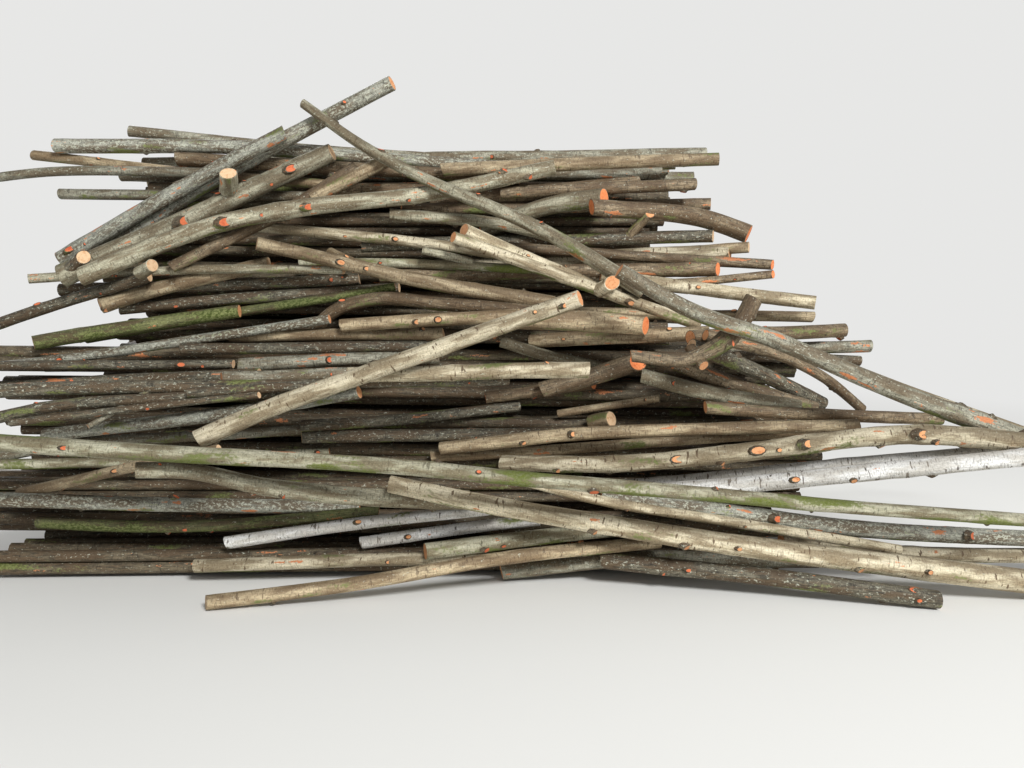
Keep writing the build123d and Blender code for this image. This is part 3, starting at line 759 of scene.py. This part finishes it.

# %% [markdown]
# ## The barks
#
# Each bark is a material with its own Principled shader, fed by the bark group and a bump.
# The colours are those the real bark has in open shade, but the dark and the inner barks
# are darker still with painted deep shade.

# %% Make the bark materials
BARKS = {
    "grey": dict(Main=colour(136, 131, 110), Dark=colour(60, 54, 42), Light=colour(176, 173, 154),
                 Pores=0.5, Lichen=0.20, Moss=0.06, Bare=0.12, Furrows=0.50),
    "tan": dict(Main=colour(160, 140, 108), Dark=colour(74, 55, 40), Light=colour(200, 182, 148),
                Pores=0.4, Lichen=0.06, Moss=0.02, Bare=0.04, Furrows=0.40),
    "pale": dict(Main=colour(190, 177, 144), Dark=colour(92, 72, 50), Light=colour(228, 217, 188),
                 Pores=0.35, Eyes=0.9, Lichen=0.06, Moss=0.06, Bare=0.02, Furrows=0.26),
    "brown": dict(Main=colour(116, 98, 74), Dark=colour(48, 37, 27), Light=colour(160, 142, 114),
                  Pores=0.45, Lichen=0.10, Moss=0.05, Bare=0.06, Furrows=0.60),
    # nearly black bark, a painted shade for logs that lie in deep shade
    "dark": dict(Main=colour(86, 79, 64), Dark=colour(35, 30, 24), Light=colour(128, 122, 104),
                 Pores=0.4, Lichen=0.20, Moss=0.10, Bare=0.04, Furrows=0.65),
    "olive": dict(Main=colour(152, 146, 120), Dark=colour(74, 66, 48), Light=colour(194, 189, 164),
                  Pores=0.5, Lichen=0.14, Moss=0.04, Bare=0.11, Furrows=0.45),
    "mossy": dict(Main=colour(166, 162, 130), Dark=colour(76, 71, 48), Light=colour(208, 204, 178),
                  Pores=0.4, Lichen=0.10, Moss=0.30, Bare=0.04, Furrows=0.32,
                  Moss_Colour=colour(110, 120, 50)),
    "green": dict(Main=colour(80, 81, 52), Dark=colour(40, 42, 24), Light=colour(132, 134, 88),
                  Pores=0.4, Lichen=0.08, Moss=0.46, Bare=0.03, Furrows=0.50,
                  Moss_Colour=colour(74, 84, 36)),
    "lichen": dict(Main=colour(124, 121, 106), Dark=colour(58, 54, 44), Light=colour(180, 180, 166),
                   Pores=0.4, Lichen=0.40, Moss=0.06, Bare=0.10, Furrows=0.45),
    "birch": dict(Main=colour(226, 225, 219), Dark=colour(76, 66, 58), Light=colour(246, 245, 241),
                  Pores=0.40, Eyes=0.9, Lichen=0.0, Moss=0.0, Bare=0.0, Furrows=0.16, Stains=0.4,
                  Stain_Colour=colour(168, 158, 142)),
    # dark brown bark, a painted deep shade for the poles inside the heap
    "inner": dict(Main=colour(84, 74, 58), Dark=colour(36, 29, 22), Light=colour(118, 107, 86),
                  Pores=0.3, Lichen=0.12, Moss=0.06, Bare=0.04, Furrows=0.6),
}


def new_material(name, group, values, specular, bump):
    material = bpy.data.materials.new(name)
    material.use_nodes = True
    tree = material.node_tree
    shader = tree.nodes["Principled BSDF"]
    effect = tree.nodes.new("ShaderNodeGroup")
    effect.node_tree = group
    for label, value in values.items():
        effect.inputs[label.replace("_", " ")].default_value = value
    shader.inputs["Specular IOR Level"].default_value = specular
    tree.links.new(effect.outputs["Colour"], shader.inputs["Base Color"])
    tree.links.new(effect.outputs["Roughness"], shader.inputs["Roughness"])
    relief = put(tree, "Bump", {"Strength": 1.0, "Distance": bump,
                                "Height": effect.outputs["Height"]})
    tree.links.new(relief.outputs["Normal"], shader.inputs["Normal"])
    return material


bark_materials = {kind: new_material(kind + "_bark", bark_group, values, 0.3, 0.006)
                  for kind, values in BARKS.items()}
print("barks:", ", ".join(sorted(bark_materials)))

# %% [markdown]
# ## Sawn ends
#
# Alder wood turns orange soon after the cut, the scars of its branches nearly red, and
# birch stays cream.  The colour follows yearly rings round the pith, with darker blotches
# and the scratches of the saw.  The rings come from the distance to the middle of the log,
# which the corners remember.

# %% Build the sawn wood
def build_wood_group():
    group, given, result = new_group(
        "sawn_wood",
        {"Heart": colour(206, 150, 104), "Rings": colour(168, 104, 62),
         "Grey": colour(128, 112, 92), "Weathered": 0.2},
        {"Colour": "NodeSocketColor", "Roughness": "NodeSocketFloat", "Height": "NodeSocketFloat"})
    place = put(group, "Attribute", attribute_name="log_place").outputs["Vector"]
    tone = put(group, "Attribute", attribute_name="log_tone").outputs["Fac"]
    flat = stretch(group, place, 1, 1, 0)
    drift = cloud(group, stretch(group, place, 30, 30, 4), detail=0)
    away = put(group, "VectorMath", {0: flat}, operation="LENGTH").outputs["Value"]
    away = math_node(group, "ADD", away, math_node(group, "MULTIPLY", drift, 0.012))
    wave = math_node(group, "SINE", math_node(group, "MULTIPLY", away, 1500))
    rings = mask(group, wave, -0.2, 1.0)
    blotch = cloud(group, stretch(group, place, 60, 60, 60), detail=2)
    base = mix(group, math_node(group, "MULTIPLY", rings, 0.45), given["Heart"], given["Rings"])
    base = mix(group, mask(group, blotch, 0.45, 0.75), base, given["Rings"])
    scratch = cloud(group, stretch(group, place, 30, 900, 900), detail=0)
    scratched = math_node(group, "MULTIPLY", mask(group, scratch, 0.5, 0.7), 0.25)
    base = mix(group, scratched, base, given["Rings"])
    old = math_node(group, "ADD", tone, given["Weathered"])
    old = math_node(group, "MULTIPLY", mask(group, old, 0.75, 1.25), 0.8)
    base = mix(group, old, base, given["Grey"])
    group.links.new(base, result["Colour"])
    rough = math_node(group, "ADD", 0.75, math_node(group, "MULTIPLY", blotch, 0.1))
    group.links.new(rough, result["Roughness"])
    relief = math_node(group, "ADD", math_node(group, "MULTIPLY", rings, 0.2),
                       math_node(group, "MULTIPLY", scratch, 0.5))
    group.links.new(relief, result["Height"])
    print("wood group:", len(group.nodes), "nodes")
    return group


wood_group = build_wood_group()
WOODS = {
    "fresh": dict(Heart=colour(214, 158, 112), Rings=colour(188, 118, 74), Weathered=0.0),
    "scar": dict(Heart=colour(206, 116, 76), Rings=colour(170, 74, 46), Weathered=-0.1),
    "bright": dict(Heart=colour(236, 150, 96), Rings=colour(216, 104, 56), Weathered=-0.3),
    "cream": dict(Heart=colour(220, 190, 152), Rings=colour(192, 146, 106), Weathered=0.1),
    "old": dict(Heart=colour(160, 134, 104), Rings=colour(112, 84, 58), Weathered=0.45),
}
wood_materials = {kind: new_material(kind + "_wood", wood_group, values, 0.25, 0.001)
                  for kind, values in WOODS.items()}
WOOD_OF = {"inner": "old", "dark": "cream", "olive": "cream", "tan": "cream"}
SCAR_OF = {"tan": "fresh", "pale": "fresh", "birch": "fresh"}     # the others are "scar"

# %% [markdown]
# ## Dressing every node
#
# Each log of a node is copied from the short or the long pattern, given its stubs and its
# bark, and all are joined to one piece that stands for the node.  How far a side looks up
# at the sky is stored too.  The bark uses it to paint shade, with some damp, on the underside
# and to put less moss there.

# %% Dress the nodes
LONG_LOG = 2.6           # metres, from which the longer pattern is used
SMOOTH_BELOW = math.radians(48)  # rims of the sawn ends and stubs stay sharp
OFTEN_KNOTS = {          # nodes whose logs have more knots than most, and how many times more
    "scarred_log": 4.0, "left_leaning_poles": 2.0, "diagonal_pole": 2.0, "front_poles": 1.6,
    "birch_poles": 2.0, "mossy_front_pole": 1.4,
}
cad_low, cad_high = (np.array(corner) for corner in cad_box)


def join(parts, name):
    select_only(parts[0])
    for part in parts:
        part.select_set(True)
    if len(parts) > 1:
        bpy.ops.object.join()
    whole = bpy.context.view_layer.objects.active
    whole.name = name
    whole.data.name = name
    return whole


def finish_piece(piece, node, bark):
    """Keep the piece inside the CAD box, store its sky side, smooth it and let it ride."""
    mesh = piece.data
    mesh.vertices.foreach_set("co", corners_of(mesh).clip(cad_low, cad_high).ravel())
    mesh.update()
    normals = np.empty(len(mesh.vertices) * 3, np.float32)
    mesh.vertex_normals.foreach_get("vector", normals)
    # how far each corner faces up, for the painted shade on the underside and for the moss
    sky = mesh.attributes.new("sky_side", "FLOAT", "POINT")
    sky.data.foreach_set("value", normals.reshape(-1, 3)[:, 2])
    piece.hide_render = False
    select_only(piece)
    bpy.ops.object.shade_smooth_by_angle(angle=SMOOTH_BELOW)
    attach(piece, "root")
    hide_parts(node)


def fresh_cut(line):
    """Whether an end of the log is one of the bright ones."""
    ends = in_picture(line.points[[0, -1]])
    return any(np.linalg.norm(ends - np.array(point), axis=1).min() < CUT_REACH
               for point in FRESH_CUTS)


def triangles(obj):
    return sum(len(face.vertices) - 2 for face in obj.data.polygons)


def give_materials(obj, bark, scar=False, fresh=False):
    wood = SCAR_OF.get(bark, "scar") if scar else WOOD_OF.get(bark, "fresh")
    if fresh:
        wood = "bright"
    # the inner bark is painted deep shade on the core poles, and the dark collar round a stub
    obj.data.materials[0] = bark_materials["inner" if scar else bark]
    obj.data.materials[1] = wood_materials[wood]


total = 0
for node, logs in stack.items():
    parts = []
    for number, (middles, radii) in enumerate(logs):
        dice = random.Random(f"{node}{number}")
        line = LogLine(middles, radii, dice)
        pattern = long_pattern if line.length > LONG_LOG else short_pattern
        marks = own_marks(dice)
        knots = knots_for(line, dice, OFTEN_KNOTS.get(node, 1.0)) + seen_scars(line)
        name = f"{node}_{number}"
        log = dress_log(pattern, name, line, knots, dice, marks)
        stubs = dress_stubs(name, line, knots, dice, marks)
        give_materials(log, barks[node][number], fresh=fresh_cut(line))
        for stub in stubs:
            give_materials(stub, barks[node][number], scar=True)
        parts += [log] + stubs
    dice = random.Random(node)
    for number in range(len(BRANCHES.get(node, ()))):
        parts.append(grow_branch(node, logs, number, dice))
    piece = join(parts, node + "_logs")
    finish_piece(piece, node, barks[node][0])
    total += triangles(piece)
print("triangles on the dressed logs:", total)

# %% [markdown]
# ## The hidden middle
#
# Behind the logs that are seen lie hundreds more.  The CAD model has thick plain logs for
# them.  Each is shown as what it stands for, a bundle of three or four thinner poles in
# the same place, of a few dozen faces each, with uneven ends, so that the gaps between the
# outer logs and both ends of the stack show more wood.  Their dark brown bark is painted
# shade for the deep inside of the heap.

# %% Fill the core with plain poles
BUNDLES = {              # poles in a bundle: their radius and their distance from its middle
    3: (0.50, 0.49),
    4: (0.46, 0.54),
}
BUNDLE_TURN = (3, 4, 4, 3, 4)    # kinds of bundle, in turn
END_STRAY = 0.080        # metres by which the ends of a bundle's poles differ
POLE_SIZE = (0.80, 1.0)  # share of the room that a pole takes up in its bundle
POLE_TAPER = (0.88, 1.0)


def bundle(middles, radii, count, dice):
    """Ends and radii of the poles that stand for one thick log."""
    size, off = BUNDLES[count]
    way = middles[-1] - middles[0]
    way /= np.linalg.norm(way)
    side = np.cross(way, [0, 0, 1.0])
    side /= np.linalg.norm(side)
    up = np.cross(side, way)
    inner = radii[0] * math.cos(math.pi / CORE_BAR[0])
    start = dice.uniform(0, 2 * math.pi)
    for i in range(count):
        turn = start + 2 * math.pi * i / count
        aside = inner * off * (math.cos(turn) * side + math.sin(turn) * up)
        ends = np.array([middles[0] + aside + way * dice.uniform(0, END_STRAY),
                         middles[-1] + aside - way * dice.uniform(0, END_STRAY)])
        radius = inner * size * dice.uniform(*POLE_SIZE)
        yield ends, np.array([radius, radius * dice.uniform(*POLE_TAPER)])


def fill_core():
    dice = random.Random("core")
    parts = []
    for number, (middles, radii) in enumerate(core_logs):
        count = BUNDLE_TURN[(number * 7 + number // 5) % len(BUNDLE_TURN)]
        for ends, thick in bundle(middles, radii, count, dice):
            line = LogLine(ends, thick, dice)
            marks = own_marks(dice)
            pole = dress_log(inner_pattern, f"inner_{len(parts)}", line, [], dice, marks)
            # the inner bark paints the deep shade inside the heap
            give_materials(pole, "inner")
            parts.append(pole)
    piece = join(parts, "inner_logs")
    finish_piece(piece, "core", "inner")
    print("inner poles:", len(parts), "triangles:", triangles(piece))


fill_core()
for pattern in (short_pattern, long_pattern, inner_pattern, stub_pattern):
    bpy.data.objects.remove(pattern)

# %% [markdown]
# ## Floor and light
#
# The stack stands on a plain pale floor that runs into a pale background.  The light is
# that of a large studio: a soft sky all round, one big lamp from the front and above and a
# weaker one from behind, at a level at which a colour renders as it is written.

# %% Set the floor and the light
BACKGROUND = (0.80, 0.80, 0.79, 1)
FADE = (4.0, 11.0)       # metres from the middle of the floor


def plain_material(name, tint):
    material = bpy.data.materials.new(name)
    material.use_nodes = True
    shader = material.node_tree.nodes["Principled BSDF"]
    shader.inputs["Base Color"].default_value = tint
    shader.inputs["Roughness"].default_value = 0.9
    return material


def fade_out(material):
    """Let the floor turn into the colour of the background from FADE[0] to FADE[1] metres."""
    tree = material.node_tree
    place = put(tree, "TexCoord").outputs["Object"]
    away = put(tree, "VectorMath", {0: place}, operation="LENGTH").outputs["Value"]
    glow = put(tree, "Emission", {"Color": BACKGROUND, "Strength": 1.0})
    both = put(tree, "MixShader", {0: mask(tree, away, *FADE), 2: glow.outputs[0],
                                   1: tree.nodes["Principled BSDF"].outputs[0]})
    tree.links.new(both.outputs[0], tree.nodes["Material Output"].inputs["Surface"])


bpy.ops.object.select_all(action="DESELECT")
bpy.ops.mesh.primitive_plane_add(size=80, location=(0, 0, -0.001))
floor = bpy.context.object
floor.name = "floor"
bpy.ops.object.transform_apply(location=True)
floor.data.materials.append(plain_material("floor", colour(206, 206, 203)))
fade_out(floor.data.materials[0])

world = bpy.data.worlds.new("studio")
bpy.context.scene.world = world
world.use_nodes = True
tree = world.node_tree
tree.nodes.clear()
soft = put(tree, "Background", {"Color": (1, 1, 1, 1), "Strength": 0.5})
pale = put(tree, "Background", {"Color": BACKGROUND, "Strength": 1.0})
seen = put(tree, "LightPath").outputs["Is Camera Ray"]
both = put(tree, "MixShader", {0: seen, 1: soft.outputs[0], 2: pale.outputs[0]})
put(tree, "OutputWorld", {"Surface": both.outputs[0]})


def lamp(name, place, target, size, power):
    light = bpy.data.lights.new(name, "AREA")
    light.shape = "DISK"
    light.size = size
    light.energy = power
    obj = bpy.data.objects.new(name, light)
    obj.location = place
    obj.rotation_euler = (Vector(target) - Vector(place)).to_track_quat("-Z", "Y").to_euler()
    bpy.context.scene.collection.objects.link(obj)


lamp("key", (6.0, -12.0, 11.0), (0, 0, 1), 4.5, 3200)
lamp("back", (-7.0, 12.0, 9.0), (0, 0, 1), 6.0, 1100)

scene = bpy.context.scene
scene.view_settings.view_transform = "Standard"

# %% Print the size and finish
print("cad", cad_box)
